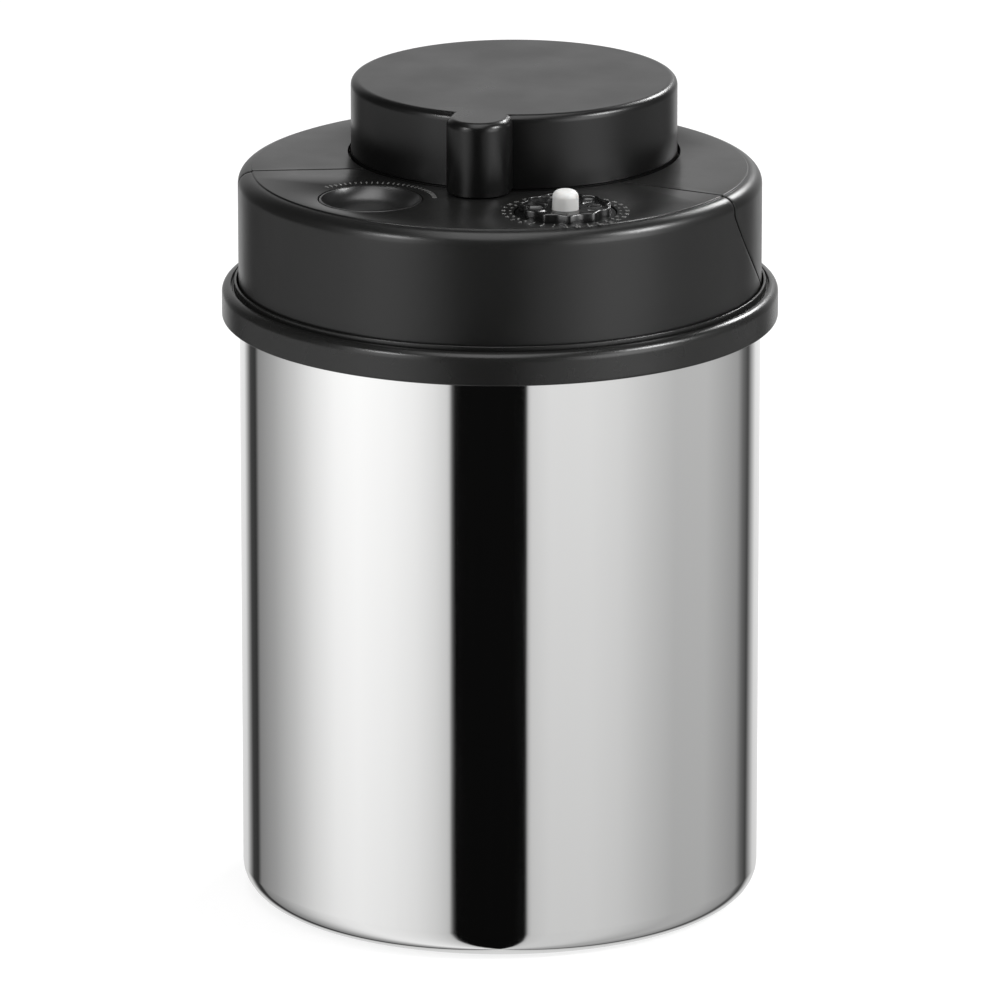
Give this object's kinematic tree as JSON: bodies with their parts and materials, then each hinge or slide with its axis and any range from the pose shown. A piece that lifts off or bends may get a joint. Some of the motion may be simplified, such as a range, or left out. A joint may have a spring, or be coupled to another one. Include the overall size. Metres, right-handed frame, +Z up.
{
  "type": "vacuum seal canister",
  "caption": "Round polished steel food canister with a black lid whose turning knob pumps out the air, with a vent button, a date wheel and a vacuum indicator peg.",
  "frame": {"origin": "middle of the base, on the surface that the canister stands on", "axes": "+Z up along the can's axis, -Y towards the front, where the knob's grip points"},
  "size_m": [0.1334, 0.1334, 0.1975],
  "materials": {
    "polished_steel": "mirror polished stainless steel, 0.8 mm sheet",
    "black_plastic": "satin black moulded plastic",
    "white_silicone": "soft white silicone",
    "black_rubber": "black nitrile rubber",
    "white_acetal": "natural acetal mouldings",
    "zinc_steel": "zinc plated steel"
  },
  "bodies": {
    "canister": {"steel_body": "polished_steel", "collar_ring": "black_plastic"},
    "lid": {"lid_chassis": "black_plastic", "lid_gasket": "black_rubber", "lid_front_cover": "black_plastic", "lid_rear_cover": "black_plastic", "cover_screws": "zinc_steel", "screw_plugs": "black_rubber", "pump_cylinder": "white_acetal", "bearing_plate": "white_acetal", "pump_screws": "zinc_steel", "intake_valve": "white_silicone", "filter_cap": "black_plastic", "release_spring": "zinc_steel", "indicator_guide": "white_acetal", "indicator_spring": "zinc_steel"},
    "knob": {"knob_cap": "black_plastic", "cam_drum": "white_acetal", "knob_screws": "zinc_steel", "retaining_clip": "zinc_steel"},
    "piston": {"pump_piston": "white_acetal", "piston_ring": "black_rubber", "follower_pin": "zinc_steel", "exhaust_valve": "white_silicone"},
    "release": {"release_button": "black_plastic", "release_rod": "white_acetal", "release_seal": "white_silicone"},
    "date_dial": {"date_wheel": "black_plastic", "wheel_clip": "white_acetal"},
    "indicator": {"indicator_peg": "white_silicone", "indicator_seal": "black_rubber"}
  },
  "joints": [
    {"name": "lid_lift", "type": "slide", "parent": "canister", "child": "lid", "axis": [0, 0, 1], "range_m": [0, 0.13]},
    {"name": "knob_turn", "type": "hinge", "parent": "lid", "child": "knob", "pos_m": [0, 0.0165, 0.18], "axis": [0, 0, 1], "range_deg": [-60, 60]},
    {"name": "piston_slide", "type": "slide", "parent": "lid", "child": "piston", "axis": [0, 0, 1], "range_m": [-0.005, 0.005]},
    {"name": "button_press", "type": "slide", "parent": "lid", "child": "release", "axis": [0, 0, -1], "range_m": [0, 0.0025], "stiffness_N_per_m": 800, "springref_m": -0.001, "deforming": ["release_spring"]},
    {"name": "date_turn", "type": "hinge", "parent": "lid", "child": "date_dial", "pos_m": [0.02384, -0.03875, 0.178], "axis": [0, 0, 1], "continuous": true},
    {"name": "indicator_drop", "type": "slide", "parent": "lid", "child": "indicator", "axis": [0, 0, -1], "range_m": [0, 0.004], "stiffness_N_per_m": 100, "springref_m": -0.001, "deforming": ["indicator_spring"]}
  ],
  "couplings": [
    {"joint": "piston_slide", "follows": "knob_turn", "m_per_rad": 0.0047742}
  ]
}
